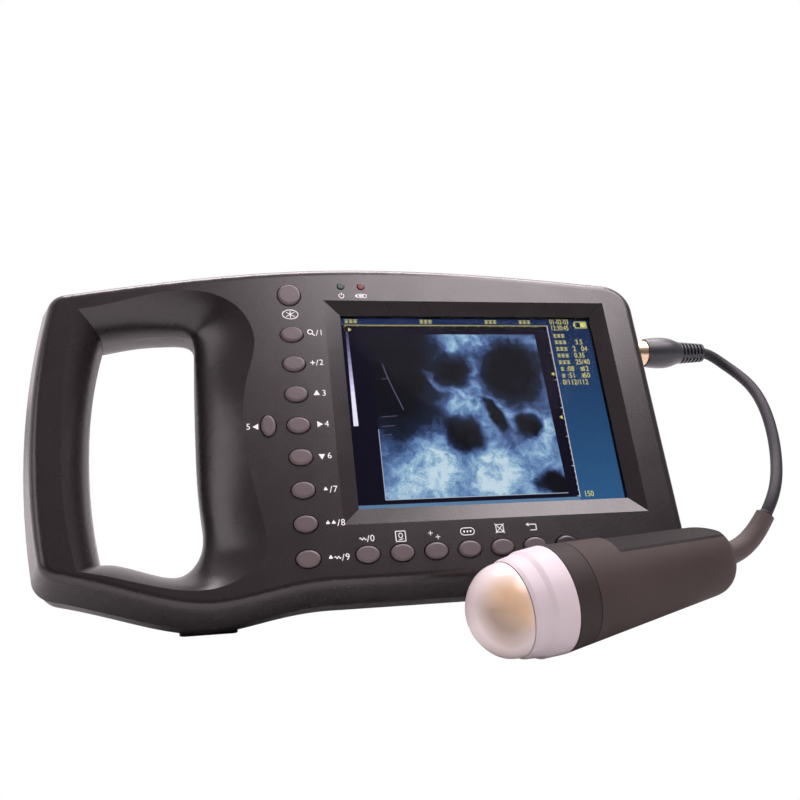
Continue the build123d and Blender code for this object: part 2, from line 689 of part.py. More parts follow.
def beside_taper(z0, z1, gap):
    """A block over the thumb flat, running along the handle's tapered side."""
    taper = math.degrees(math.atan((PROBE_HEAD_R - PROBE_TAIL_R) / PROBE_LENGTH))
    return Rot(0, taper, 0) * block(GRIP_X0 + gap, PROBE_LENGTH + 2, -30, 30, z0, z1)


def grip_space():
    flat = PROBE_HEAD_R - GRIP_DEPTH
    return beside_taper(flat - 0.8, flat + 20, 0)


def grip_pad():
    """The flat thumb pad let into the top of the handle."""
    flat = PROBE_HEAD_R - GRIP_DEPTH
    return handle_solid(GRIP_X0 - 3, 0.05) & beside_taper(flat - 0.75, flat, 0.05)


def probe_collar():
    ring = turned([(0.1, PROBE_HEAD_R), (COLLAR_X - 0.25, probe_radius(COLLAR_X))])
    return ring - bar_x(0, 0, PROBE_HEAD_R - 2.5, -1, COLLAR_X + 1)


DOME_BACK = RING_FRONT - 0.3
RING_BORE = DOME_R - 1.4
SKIRT_R = RING_BORE - 0.05


def nose_ring():
    """The white ring that clamps the dome, with a soft step half way along."""
    profile = [(RING_FRONT, DOME_R + 0.3), (RING_FRONT + 1.3, DOME_R + 0.95), (RING_STEP - 1.9, DOME_R + 1.6),
               (RING_STEP, PROBE_HEAD_R - 0.35), (RING_BACK, PROBE_HEAD_R)]
    return turned(profile) - bar_x(0, 0, RING_BORE, -20, 5)


def dome_solid(shrink):
    reach = PROBE_NOSE + DOME_BACK - shrink
    radius = DOME_R - shrink
    start = (DOME_BACK, radius)
    tip = (DOME_BACK - reach, 0)
    crown = Spline(start, (DOME_BACK - reach * 0.65, radius * 0.76), tip, tangents=((-1, 0), (0, -1)))
    return revolve(make_face([Line((DOME_BACK, 0), start), crown, Line(tip, (DOME_BACK, 0))]), Axis.X)


def acoustic_window():
    """The thin dome that the transducer looks through."""
    solid = dome_solid(0) + bar_x(0, 0, SKIRT_R, DOME_BACK - 0.01, -6)
    return solid - dome_solid(DOME_WALL) - bar_x(0, 0, SKIRT_R - DOME_WALL, DOME_BACK - 0.5, 0)


def probe_chassis():
    """The frame that carries the transducer's axle and the motor."""
    plate = bar_x(0, 0, 15.2, PLATE_X, PLATE_X + 2.5) - bar_x(-9, 0, 2.2, PLATE_X - 1, PLATE_X + 4)
    ears = []
    for side in (-1, 1):
        arm = block(PIVOT_X - 3, PLATE_X + 0.5, side * 10 - 1, side * 10 + 1, -6, 6)
        ears.append(arm)
    saddle = block(-3, PLATE_X + 0.5, 5, 12.4, -5, 5)
    frame = plate + ears[0] + ears[1] + saddle - motor_place(0.05)
    frame -= Pos(PIVOT_X, 0, 0) * Cylinder(PIVOT_R + 0.03, 30, rotation=(90, 0, 0))
    return frame


def along_y(x, r, y0, y1):
    """A round bar along y through (x, 0)."""
    return Pos(x, (y0 + y1) / 2, 0) * Rot(90, 0, 0) * Cylinder(r, y1 - y0)


def motor_place(grow):
    return along_y(MOTOR_X, MOTOR_R + grow, 3.5 - grow, 12.6 + grow)


def involute(angle):
    return math.tan(angle) - angle


def tooth(teeth, root_r, tip_r, turn):
    """One involute tooth pointing at turn radians, as a flat face."""
    pitch_r = MODULE * teeth / 2
    base_r = pitch_r * math.cos(math.radians(PRESSURE))
    half = (math.pi * MODULE / 2 - BACKLASH / 2) / (2 * pitch_r) + involute(math.radians(PRESSURE))
    flank = [(root_r - 0.1, half)] if root_r < base_r else []
    steps = 6
    low_r = max(base_r, root_r - 0.1)
    for i in range(steps + 1):
        r = low_r + (tip_r - low_r) * i / steps
        flank.append((r, half - involute(math.acos(min(1.0, base_r / r)))))
    rising = [(r * math.cos(turn - a), r * math.sin(turn - a)) for r, a in flank]
    falling = [(r * math.cos(turn + a), r * math.sin(turn + a)) for r, a in reversed(flank)]
    return make_face(Polyline(*rising, *falling, rising[0]))


def gear_plate(teeth, root_r, tip_r, turns, thickness):
    """Teeth at the given turns on a disc, standing across the probe's y."""
    flat = Circle(root_r)
    for turn in turns:
        flat += tooth(teeth, root_r, tip_r, turn)
    return Rot(90, 0, 0) * Pos(0, 0, -thickness / 2) * extrude(flat, thickness)


def sector_gear():
    """The toothed sector on the transducer's axle, facing the motor's pinion."""
    pitch_r = MODULE * SECTOR_TEETH / 2
    step = 360 / SECTOR_TEETH
    count = int(SECTOR_SPAN / step)
    turns = [math.radians(step * i) for i in range(-count, count + 1)]
    root_r = pitch_r - MODULE - 0.15
    disc = gear_plate(SECTOR_TEETH, root_r, pitch_r + SECTOR_TIP, turns, 2.4)
    wedge = Polyline((0, 0), (20, -20 * math.tan(math.radians(SECTOR_SPAN + 4))),
                     (20, 20 * math.tan(math.radians(SECTOR_SPAN + 4))), (0, 0))
    keep = Rot(90, 0, 0) * Pos(0, 0, -3) * extrude(make_face(wedge), 6)
    hub = along_y(0, 4.6, -1.2, 1.2)
    gear = (disc & keep) + hub - along_y(0, CRADLE_R + 0.02, -3, 3)
    return Pos(PIVOT_X, 0, 0) * gear


def cradle():
    """The transducer's carrier and its axle."""
    hub = along_y(PIVOT_X, CRADLE_R, -6.5, 6.5)
    holder = bar_x(0, 0, 5.6, PIVOT_X - 8.4, PIVOT_X - 5.2)
    web = block(PIVOT_X - 6, PIVOT_X, -2, 2, -1.5, 1.5) + block(PIVOT_X - 6, PIVOT_X, -6, -3, -2, 2)
    gap = along_y(PIVOT_X, 4.7, -1.3, 1.3)
    body = hub + (web - gap) + holder + block(PIVOT_X - 6, PIVOT_X, 3, 6, -2, 2)
    return body + along_y(PIVOT_X, PIVOT_R, -12, 12)


def transducer_disc():
    return bar_x(0, 0, 4.8, PIVOT_X - 9.6, PIVOT_X - 8.42)


def drive_pinion():
    pitch_r = MODULE * PINION_TEETH / 2
    root_r = pitch_r - SECTOR_TIP - 0.15
    step = 360 / PINION_TEETH
    turns = [math.radians(180 + step * (i + 0.5)) for i in range(PINION_TEETH)]
    gear = Pos(MOTOR_X, 0, 0) * gear_plate(PINION_TEETH, root_r, pitch_r + MODULE, turns, 3)
    return gear + along_y(MOTOR_X, 0.75, 1, 9)


def drive_motor():
    body = motor_place(0) - along_y(MOTOR_X, 0.79, 0, 9.5)
    return body


def dome_seal():
    return bar_x(0, 0, RING_BORE, -5.9, -4.6) - bar_x(0, 0, RING_BORE - 1.1, -7, 0)


def preamp_board():
    board = block(8, 56, -8, 8, -0.8, 0.8)
    for x in (16, 28, 41):
        board += block(x - 4, x + 4, -4, 4, 0.7, 2.2)
    return board


def sleeve_plane(share):
    """Plane across the sleeve: share is 0 where it leaves the handle and 1 at the cable's round end."""
    rise = math.radians(SLEEVE_RISE)
    start = PROBE_LENGTH + 3
    upward = (math.cos(rise), 0, math.sin(rise))
    arc = Spline((start, 0, 0), (BALL_X, 0, BALL_Z), tangents=((1, 0, 0), upward))
    return Plane(origin=arc @ share, x_dir=(0, 1, 0), z_dir=arc % share)


def probe_sleeve():
    """The bent rubber sleeve at the tail, with the cup that holds the cable's round end."""
    straight = bar_x(0, 0, SLEEVE_R, PROBE_LENGTH - 9, PROBE_LENGTH + 3)
    outer = []
    bore = []
    for share in (0, 0.25, 0.5, 0.75, 1):
        plane = sleeve_plane(share)
        outer.append(plane * Circle(SLEEVE_R + (SLEEVE_END_R - SLEEVE_R) * share).wire())
        bore.append(plane * Circle(1.5).wire())
    bend = Solid.make_loft(outer)
    channel = Solid.make_loft(bore) + bar_x(0, 0, 1.5, PROBE_LENGTH - 10, PROBE_LENGTH + 3)
    return straight + bend - channel - Pos(BALL_X, 0, BALL_Z) * Sphere(CUP_R)


def cable():
    """The cable from the plug's overmold to the ball at its end."""
    start = standing(PLUG_Y, PLUG_Z, 112.3)
    relief = standing(PLUG_Y, PLUG_Z, RELIEF_X)
    place = probe_place()
    ball = Vector(*(place * Pos(BALL_X, 0, BALL_Z)).position)
    rise = math.radians(SLEEVE_RISE)
    outside = Vector(*(place * Pos(BALL_X + math.cos(rise), 0, BALL_Z + math.sin(rise))).position)
    way = [relief] + [Vector(*p) for p in CABLE_WAY] + [ball]
    lead = Line(start, relief)
    loop = Spline(*way, tangents=((1, 0, 0), ball - outside), tangent_scalars=(1, 1))
    core = sweep(Plane(origin=start, z_dir=(1, 0, 0)) * Circle(CABLE_R), Wire([lead, loop]))
    return core + Pos(*ball) * Sphere(BALL_R)


# ------------------------------------------------------------------ assembly
def pieces():
    """Every node's solid in the standing attitude."""
    unit = {
        "front_shell": front_shell(),
        "rear_shell": rear_shell(),
        "screen_window": screen_window(),
        "lcd_panel": lcd_panel(),
        "lcd_frame": lcd_frame(),
        "keypad_board": keypad_board(),
        "flex_cables": flex_cables(),
        "key_mat": key_mat(),
        "main_board": main_board(),
        "scan_board": scan_board(),
        "shield_can": shield_can(),
        "lamp_lenses": Compound(children=[lamp(x) for x in LED_X]),
        "battery_pack": battery_pack(),
        "battery_cover": battery_cover(),
        "case_screws": case_screws(),
        "cover_screws": cover_screws(),
        "board_screws": board_screws(),
        "clock_cell": clock_cell(),
        "probe_socket": probe_socket(),
        "video_jack": jack(VIDEO_Y, VIDEO_R, 0),
        "charge_jack": jack(CHARGE_Y, CHARGE_R, 1.0),
        "stand_pin": stand_pin(),
        "stand_leg": in_stand(stand_leg()),
        "plug_shell": plug_shell(),
        "plug_insert": plug_insert(),
        "plug_overmold": plug_overmold(),
    }
    for name, x, y, w, h in key_places():
        unit["key_" + name] = key_cap(x, y, w, h)
    probe = {
        "probe_handle": probe_handle(),
        "grip_pad": grip_pad(),
        "probe_collar": probe_collar(),
        "nose_ring": nose_ring(),
        "acoustic_window": acoustic_window(),
        "dome_seal": dome_seal(),
        "probe_chassis": probe_chassis(),
        "drive_motor": drive_motor(),
        "drive_pinion": drive_pinion(),
        "sector_gear": sector_gear(),
        "transducer_cradle": cradle(),
        "transducer_disc": transducer_disc(),
        "preamp_board": preamp_board(),
        "probe_sleeve": probe_sleeve(),
    }
    placed = {name: TILT * solid for name, solid in unit.items()}
    place = probe_place()
    for name, solid in probe.items():
        placed[name] = place * solid
    placed["rubber_feet"] = rubber_feet()
    table = block(-400, 400, -400, 400, -50, 0)
    placed["stand_foot"] = TILT * in_stand(stand_foot()) - table
    placed["cable"] = cable()
    return placed


VIDEO_R = 1.8


def main():
    placed = pieces()
    box = Compound(children=[Part() + solid for solid in placed.values()]).bounding_box()
    middle = Pos(-(box.min.X + box.max.X) / 2, -(box.min.Y + box.max.Y) / 2, -box.min.Z)
    os.makedirs("parts", exist_ok=True)
    for name, solid in placed.items():
        export_step(middle * solid, f"parts/{name}.step")


if __name__ == "__main__":
    main()
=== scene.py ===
import json
import math

import bpy
from mathutils import Matrix, Vector


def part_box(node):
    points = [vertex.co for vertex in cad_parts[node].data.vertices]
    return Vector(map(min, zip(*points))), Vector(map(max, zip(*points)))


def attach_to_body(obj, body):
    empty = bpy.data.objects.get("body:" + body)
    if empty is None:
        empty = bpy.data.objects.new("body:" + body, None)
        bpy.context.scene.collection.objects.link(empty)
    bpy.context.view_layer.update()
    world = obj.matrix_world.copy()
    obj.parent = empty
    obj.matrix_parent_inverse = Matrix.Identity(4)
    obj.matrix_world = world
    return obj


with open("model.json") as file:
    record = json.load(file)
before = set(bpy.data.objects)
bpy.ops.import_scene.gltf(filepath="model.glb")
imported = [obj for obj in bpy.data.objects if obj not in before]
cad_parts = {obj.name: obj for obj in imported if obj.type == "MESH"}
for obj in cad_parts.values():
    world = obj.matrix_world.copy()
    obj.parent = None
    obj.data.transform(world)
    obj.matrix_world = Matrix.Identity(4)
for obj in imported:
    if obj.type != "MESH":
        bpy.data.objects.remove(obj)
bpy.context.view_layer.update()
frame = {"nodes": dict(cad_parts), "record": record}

MM = 0.001
NODES = frame["nodes"]
JOINTS = {joint["name"]: joint for joint in frame["record"]["behaviour"]["joints"]}

# ------------------------------------------------------------------ the panel's own frame
# Millimetres: x to the right, y up the panel, z out of it, the display centred on x = y = 0.
WINDOW_MID_Z = 33.775           # middle of the display window's thickness
FACE_Z = 38.0                   # front face of the panel
DISPLAY_W = 112.9
DISPLAY_H = 84.7

OUT = -Vector(JOINTS["key_up_press"]["axis"]).normalized()
RIGHT = Vector((1, 0, 0))
UP = OUT.cross(RIGHT)


def middle(node):
    """Middle of a CAD node's box."""
    low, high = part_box(node)
    return (Vector(low) + Vector(high)) / 2


ORIGIN = middle("screen_window") - OUT * (WINDOW_MID_Z * MM)
PANEL = Matrix((
    (RIGHT.x * MM, UP.x * MM, OUT.x * MM, ORIGIN.x),
    (RIGHT.y * MM, UP.y * MM, OUT.y * MM, ORIGIN.y),
    (RIGHT.z * MM, UP.z * MM, OUT.z * MM, ORIGIN.z),
    (0, 0, 0, 1),
))


def panel(x, y, z):
    """A point of the panel frame, in the row frame."""
    return PANEL @ Vector((x, y, z))


def on_panel(point):
    """A point of the row frame, in the panel frame."""
    return PANEL.inverted() @ Vector(point)


# ------------------------------------------------------------------ making materials
GRAIN_DEPTH = 0.00006           # relief of a moulding's spark texture, metres
METAL_DEPTH = 0.00005           # relief of brushed metal
SOFT_DEPTH = 0.0001             # relief of the probe's white ring and dome
UNLIT = (0.004, 0.004, 0.004, 1)        # colour of a part of the display without its light


def linear(red, green, blue):
    """A colour given as 0 to 255 display values, made linear."""
    def one(value):
        value /= 255
        return value / 12.92 if value <= 0.04045 else ((value + 0.055) / 1.055) ** 2.4
    return (one(red), one(green), one(blue), 1.0)


class Look:
    """A material and short calls to add nodes to it."""

    def __init__(self, name):
        self.material = bpy.data.materials.new(name)
        self.material.use_nodes = True
        self.tree = self.material.node_tree
        self.shader = self.tree.nodes["Principled BSDF"]
        self.place = self.node("ShaderNodeTexCoord").outputs["Object"]

    def node(self, kind, **settings):
        made = self.tree.nodes.new(kind)
        for name, value in settings.items():
            setattr(made, name, value)
        return made

    def link(self, source, target):
        self.tree.links.new(source, target)

    def set(self, **values):
        """Fixed values of the shader, with an input's spaces written as underscores."""
        for name, value in values.items():
            self.shader.inputs[name.replace("_", " ")].default_value = value

    def drive(self, name, source):
        """Feed an input of the shader from a node."""
        self.link(source, self.shader.inputs[name])

    def noise(self, scale, detail=3.0, roughness=0.5, place=None):
        texture = self.node("ShaderNodeTexNoise")
        texture.inputs["Scale"].default_value = scale
        texture.inputs["Detail"].default_value = detail
        texture.inputs["Roughness"].default_value = roughness
        self.link(place or self.place, texture.inputs["Vector"])
        return texture.outputs["Fac"]

    def spread(self, source, low, high, start=0.3, stop=0.7):
        """Map a factor from start..stop to low..high."""
        ramp = self.node("ShaderNodeMapRange")
        ramp.inputs["From Min"].default_value = start
        ramp.inputs["From Max"].default_value = stop
        ramp.inputs["To Min"].default_value = low
        ramp.inputs["To Max"].default_value = high
        self.link(source, ramp.inputs["Value"])
        return ramp.outputs["Result"]

    def mix(self, factor, first, second):
        """A blend of two tones, the first of them a colour or another node's."""
        blend = self.node("ShaderNodeMix", data_type="RGBA")
        self.link(factor, blend.inputs["Factor"])
        if isinstance(first, tuple):
            blend.inputs["A"].default_value = first
        else:
            self.link(first, blend.inputs["A"])
        blend.inputs["B"].default_value = second
        return blend.outputs["Result"]

    def dot(self, source, way):
        """How far a vector reaches along a direction."""
        along = self.node("ShaderNodeVectorMath", operation="DOT_PRODUCT")
        self.link(source, along.inputs[0])
        along.inputs[1].default_value = way
        return along.outputs["Value"]

    def combine(self, operation, first, second):
        """Arithmetic on two factors, each a number or a node's output."""
        made = self.node("ShaderNodeMath", operation=operation)
        for slot, value in enumerate((first, second)):
            if isinstance(value, (int, float)):
                made.inputs[slot].default_value = value
            else:
                self.link(value, made.inputs[slot])
        return made.outputs["Value"]

    def bump(self, height, strength, distance):
        made = self.node("ShaderNodeBump")
        made.inputs["Strength"].default_value = strength
        made.inputs["Distance"].default_value = distance
        self.link(height, made.inputs["Height"])
        self.drive("Normal", made.outputs["Normal"])

    def light_only(self):
        """A surface that shows its own light and no reflection."""
        self.set(Specular_IOR_Level=0.0, Base_Color=UNLIT)


def moulded_plastic(name, dark, light, roughness, grain, grain_scale=1500.0):
    """Spark-textured moulding: faint mottle in colour and gloss, and a fine grain."""
    look = Look(name)
    look.drive("Base Color", look.mix(look.spread(look.noise(38, 4), 0, 1), dark, light))
    look.drive("Roughness", look.spread(look.noise(90), roughness - 0.015, roughness + 0.02))
    look.bump(look.noise(grain_scale, 2, 0.6), grain, GRAIN_DEPTH)
    return look


def glossy_shell():
    look = moulded_plastic("body_plastic", linear(32, 26, 28), linear(36, 30, 32), 0.27, 0.16)
    look.set(Specular_IOR_Level=0.65)
    return look


def dull_shell(name, dark, light, roughness, grain):
    """The probe's satin plastic, which hardly reflects."""
    look = moulded_plastic(name, dark, light, roughness, grain)
    look.set(Specular_IOR_Level=0.2)
    return look


def grip_rubber():
    """Rubber with fine pits, with painted shade that makes the pits darker than the ridges between them."""
    look = Look("grip_rubber")
    cells = look.node("ShaderNodeTexVoronoi", feature="F1")
    cells.inputs["Scale"].default_value = 1300
    look.link(look.place, cells.inputs["Vector"])
    relief = cells.outputs["Distance"]
    # Painted shade: the colour darkens towards the middle of each pit.
    look.drive("Base Color", look.mix(relief, linear(20, 18, 18), linear(42, 38, 37)))
    look.set(Roughness=0.8, Specular_IOR_Level=0.25)
    look.bump(relief, 0.7, 0.0003)
    return look


def soft_rubber(name, colour, roughness=0.6, shine=0.3):
    lighter = (*(channel * 1.2 for channel in colour[:3]), 1)
    look = moulded_plastic(name, colour, lighter, roughness, 0.08, 900)
    look.set(Coat_Weight=shine, Coat_Roughness=0.4, Specular_IOR_Level=0.4)
    return look


def white_ring():
    look = Look("white_ring")
    cloud = look.spread(look.noise(55), 0, 1)
    look.drive("Base Color", look.mix(cloud, linear(204, 194, 198), linear(211, 202, 206)))
    look.set(Roughness=0.42, Specular_IOR_Level=0.2)
    look.set(Subsurface_Weight=0.2, Subsurface_Scale=0.003, Subsurface_Radius=(1.0, 0.8, 0.7))
    look.bump(look.noise(300, 2), 0.05, SOFT_DEPTH)
    return look


def dome_plastic():
    """The milky dome: a painted pale sheen round its rim where it turns from the view, and a warm core with
    painted shade that turns it grey towards its lower left.
    """
    look = Look("dome_plastic")
    to_local = NODES["acoustic_window"].matrix_world.inverted()
    centre = to_local @ middle("acoustic_window")
    way = (to_local.to_3x3() @ Vector((-0.6, -0.1, -0.8))).normalized()
    start = centre.dot(way) - MM
    # Painted shade: the core turns grey towards the lower left, the side away from the light.
    shade = look.spread(look.dot(look.place, way), 0, 1, start, start + 7 * MM)
    core = look.mix(shade, linear(212, 182, 150), linear(166, 148, 132))
    # Painted sheen: the colour pales where the dome turns away from the view.
    rim = look.node("ShaderNodeLayerWeight")
    rim.inputs["Blend"].default_value = 0.5
    cloud = look.spread(look.noise(70), -0.04, 0.04)
    edge = look.combine("ADD", cloud, rim.outputs["Facing"])
    skin_with_painted_light = look.mix(look.spread(edge, 0, 1, 0.08, 0.42), core, linear(228, 216, 214))
    look.drive("Base Color", skin_with_painted_light)
    look.set(Roughness=0.26, Subsurface_Weight=0.2, Subsurface_Scale=0.003, Coat_Weight=0.1)
    look.bump(look.noise(200, 2), 0.04, SOFT_DEPTH)
    return look


def metal(name, dark, light, grain_scale, grain, gloss_scale, smooth, rough):
    """Bare metal with a brushed grain, and a roughness that wanders from smooth to rough."""
    look = Look(name)
    brushed = look.noise(grain_scale)
    look.drive("Base Color", look.mix(look.spread(brushed, 0, 1), dark, light))
    look.set(Metallic=1.0)
    look.drive("Roughness", look.spread(look.noise(gloss_scale), smooth, rough))
    look.bump(brushed, grain, METAL_DEPTH)
    return look


def circuit_board():
    """Green solder mask with a faint mesh of tracks."""
    look = Look("circuit_board")
    tracks = look.node("ShaderNodeTexBrick")
    tracks.inputs["Scale"].default_value = 160
    tracks.inputs["Color1"].default_value = linear(22, 84, 52)
    tracks.inputs["Color2"].default_value = linear(26, 92, 58)
    tracks.inputs["Mortar"].default_value = linear(44, 122, 80)
    look.link(look.place, tracks.inputs["Vector"])
    look.drive("Base Color", tracks.outputs["Color"])
    look.set(Roughness=0.35)
    return look


def window_glass():
    """A thin clear pane with a faint reflection."""
    look = Look("window_glass")
    look.drive("Roughness", look.spread(look.noise(120, 2), 0.05, 0.09))
    look.set(Base_Color=linear(20, 20, 24), Alpha=0.03, Specular_IOR_Level=0.3)
    return look


def lamp_lens():
    """Green lens on the left, red on the right, told apart by where they sit."""
    look = Look("lamp_lens")
    separate = look.node("ShaderNodeSeparateXYZ")
    look.link(look.place, separate.inputs[0])
    side = look.combine("GREATER_THAN", separate.outputs["X"], middle("lamp_lenses").x)
    look.drive("Base Color", look.mix(side, linear(26, 62, 48), linear(104, 30, 42)))
    look.drive("Roughness", look.spread(look.noise(400, 2), 0.08, 0.14))
    look.set(Specular_IOR_Level=0.25)
    return look


def white_ink():
    look = Look("white_ink")
    fleck = look.noise(1500, 2)
    look.drive("Base Color", look.mix(fleck, linear(236, 232, 234), linear(246, 243, 245)))
    # The faint emission is painted light that brightens the white print.
    look.set(Roughness=0.5, Emission_Color=(1, 1, 1, 1), Emission_Strength=0.12)
    return look


# A moulding's last two numbers are its roughness and its grain's strength.  A rubber's are its
# roughness and its coat's weight.  A metal's are its grain's scale and strength, then the scale
# and the two ends of its roughness.
LOOKS = {
    "body": glossy_shell(),
    "rear": moulded_plastic("rear_plastic", linear(36, 30, 32), linear(40, 34, 36), 0.45, 0.3),
    "key": moulded_plastic("key_plastic", linear(94, 84, 86), linear(101, 90, 92), 0.34, 0.1),
    "probe": dull_shell("probe_plastic", linear(64, 55, 53), linear(70, 60, 58), 0.66, 0.18),
    "collar": dull_shell("collar_plastic", linear(50, 43, 42), linear(56, 48, 47), 0.6, 0.15),
    "grip": grip_rubber(),
    "rubber": soft_rubber("black_rubber", linear(34, 33, 34)),
    "overmold": soft_rubber("overmold_rubber", linear(48, 50, 56), 0.38),
    "cable": soft_rubber("cable_jacket", linear(30, 29, 37), 0.6, 0.0),
    "sleeve": soft_rubber("sleeve_rubber", linear(72, 63, 61), 0.65, 0.0),
    "white": white_ring(),
    "dome": dome_plastic(),
    "nickel": metal("nickel", linear(206, 178, 146), linear(222, 198, 170), 900, 0.08, 300, 0.2, 0.34),
    "steel": metal("steel", linear(150, 150, 152), linear(186, 186, 188), 700, 0.1, 160, 0.28, 0.45),
    "brass": metal("brass", linear(196, 162, 92), linear(214, 182, 112), 900, 0.1, 300, 0.3, 0.3),
    "board": circuit_board(),
    "glass": window_glass(),
    "ink": white_ink(),
    "black": moulded_plastic("black_plastic", linear(26, 25, 26), linear(32, 31, 32), 0.5, 0.2),
    "mat": soft_rubber("key_mat_rubber", linear(120, 120, 120), 0.6, 0.1),
    "battery": moulded_plastic("battery_wrap", linear(40, 58, 110), linear(46, 66, 122), 0.4, 0.1),
    "film": moulded_plastic("flex_film", linear(176, 122, 44), linear(190, 134, 54), 0.35, 0.05),
    "ceramic": moulded_plastic("ceramic", linear(206, 200, 184), linear(216, 210, 196), 0.5, 0.1),
    "lens": lamp_lens(),
}
INK = LOOKS["ink"].material

# The CAD nodes of each look.  A key not named here is "key", and anything else is "black".
LOOK_NODES = {
    "body": ("front_shell", "key_power"),
    "rear": ("rear_shell", "battery_cover", "stand_leg"),
    "glass": ("screen_window",),
    "steel": ("lcd_frame", "shield_can", "case_screws", "cover_screws", "board_screws", "clock_cell",
              "stand_pin", "probe_chassis", "drive_motor", "transducer_cradle"),
    "film": ("flex_cables",),
    "board": ("keypad_board", "main_board", "scan_board", "preamp_board"),
    "mat": ("key_mat",),
    "lens": ("lamp_lenses",),
    "battery": ("battery_pack",),
    "rubber": ("stand_foot", "rubber_feet", "dome_seal"),
    "nickel": ("plug_shell",),
    "overmold": ("plug_overmold",),
    "cable": ("cable",),
    "probe": ("probe_handle",),
    "grip": ("grip_pad",),
    "collar": ("probe_collar",),
    "white": ("nose_ring",),
    "dome": ("acoustic_window",),
    "brass": ("drive_pinion", "sector_gear"),
    "ceramic": ("transducer_disc",),
    "sleeve": ("probe_sleeve",),
}


def paint_cad():
    """Give every CAD node its material."""
    look_of = {node: look for look, nodes in LOOK_NODES.items() for node in nodes}
    for name, node in NODES.items():
        look = look_of.get(name, "key" if name.startswith("key_") else "black")
        node.data.materials.clear()
        node.data.materials.append(LOOKS[look].material)


# ------------------------------------------------------------------ making new pieces
def make_object(name, verts, faces, material):
    mesh = bpy.data.meshes.new(name)
    mesh.from_pydata([tuple(v) for v in verts], [], faces)
    mesh.update()
    mesh.materials.append(material)
    obj = bpy.data.objects.new(name, mesh)
    bpy.context.collection.objects.link(obj)
    return obj


def attach(obj):
    """Put a new piece on the unit."""
    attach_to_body(obj, "unit")


def flat_mesh(name, polygons, z, material):
    """Polygons given in panel millimetres, laid at height z."""
    verts, faces = [], []
    for points in polygons:
        faces.append(tuple(range(len(verts), len(verts) + len(points))))
        verts += [panel(x, y, z) for x, y in points]
    attach(make_object(name, verts, faces, material))


def rectangle(x0, y0, x1, y1):
    return [(x0, y0), (x1, y0), (x1, y1), (x0, y1)]


def disc(x, y, width, height, steps):
    """The outline of an oval."""
    return arc(x, y, width, height, steps + 1, 0, 360)[:-1]


def arc(x, y, width, height, steps, start, stop):
    """Points along an oval from one angle to another, in degrees."""
    points = []
    for i in range(steps):
        turn = math.radians(start + (stop - start) * i / (steps - 1))
        points.append((x + width / 2 * math.cos(turn), y + height / 2 * math.sin(turn)))
    return points


def band(points, width, closed=False):
    """Short quads that follow a line, as a drawn stroke."""
    quads = []
    last = len(points) if closed else len(points) - 1
    for i in range(last):
        (x0, y0), (x1, y1) = points[i], points[(i + 1) % len(points)]
        length = math.hypot(x1 - x0, y1 - y0)
        nx, ny = -(y1 - y0) / length * width / 2, (x1 - x0) / length * width / 2
        quads.append([(x0 - nx, y0 - ny), (x1 - nx, y1 - ny), (x1 + nx, y1 + ny), (x0 + nx, y0 + ny)])
    return quads


def written(name, text, x, y, size, z, material, squeeze=1.0):
    """Figures set flat on the panel from x to the right, as a mesh."""
    curve = bpy.data.curves.new(name, "FONT")
    curve.body = text
    curve.size = size
    curve.align_y = "CENTER"
    curve.resolution_u = 3
    source = bpy.data.objects.new(name + "_curve", curve)
    bpy.context.collection.objects.link(source)
    bpy.context.view_layer.update()
    mesh = bpy.data.meshes.new_from_object(source.evaluated_get(bpy.context.evaluated_depsgraph_get()))
    bpy.data.objects.remove(source)
    for vertex in mesh.vertices:
        vertex.co = panel(x + vertex.co.x * squeeze, y + vertex.co.y, z)
    mesh.name = name
    mesh.materials.clear()
    mesh.materials.append(material)
    obj = bpy.data.objects.new(name, mesh)
    bpy.context.collection.objects.link(obj)
    attach(obj)


# ------------------------------------------------------------------ lit materials of the display
def glow(name, colour, wobble=0.03):
    """A lit part of the display."""
    look = Look(name)
    look.light_only()
    look.set(Emission_Color=colour)
    look.drive("Emission Strength", look.spread(look.noise(600, 2), 1 - wobble, 1 + wobble))
    return look.material


def gradient_glow(name, top, bottom):
    """A lit plate that changes colour up the panel."""
    look = Look(name)
    look.light_only()
    base = ORIGIN.dot(UP)
    half = DISPLAY_H / 2 * MM
    height = look.spread(look.dot(look.place, UP), 0, 1, base - half, base + half)
    look.drive("Emission Color", look.mix(height, bottom, top))
    look.drive("Emission Strength", look.spread(look.noise(500, 2), 0.96, 1.04))
    return look.material


# Ellipses of the generic scan picture: x, y, width, height in millimetres, turn in degrees.
BRIGHTS = [
    (7, 32, 46, 12, 0), (-5, 4, 24, 12, 0), (2, -28, 20, 20, 0), (12, 4, 12, 14, -20),
    (-26, -26, 26, 22, 0), (27, -14, 9, 16, -30), (1, 15, 9, 18, 30),
]
POOLS = [
    (-37, 20, 42, 66, 0), (16, 17, 27, 32, -10), (-10, 17, 15, 13, 0), (-9, -11, 17, 13, -35),
    (20, -9, 13, 10, 0), (6, -3, 5, 17, 25), (27, -34, 16, 12, 0),
]
FINGERS = [(-19, 13, 3.5, 15, 40)]
SCAN_TONES = [
    (0.0, linear(14, 16, 24)), (0.22, linear(26, 34, 54)), (0.42, linear(62, 84, 130)),
    (0.62, linear(104, 138, 184)), (0.8, linear(146, 182, 210)), (1.0, linear(196, 218, 232)),
]
WARP = 9.0                      # range over which noise shifts the ellipses' rims, millimetres
POOL_SOFT = 0.35                # half the width of an ellipse's soft rim, as a share of its radius


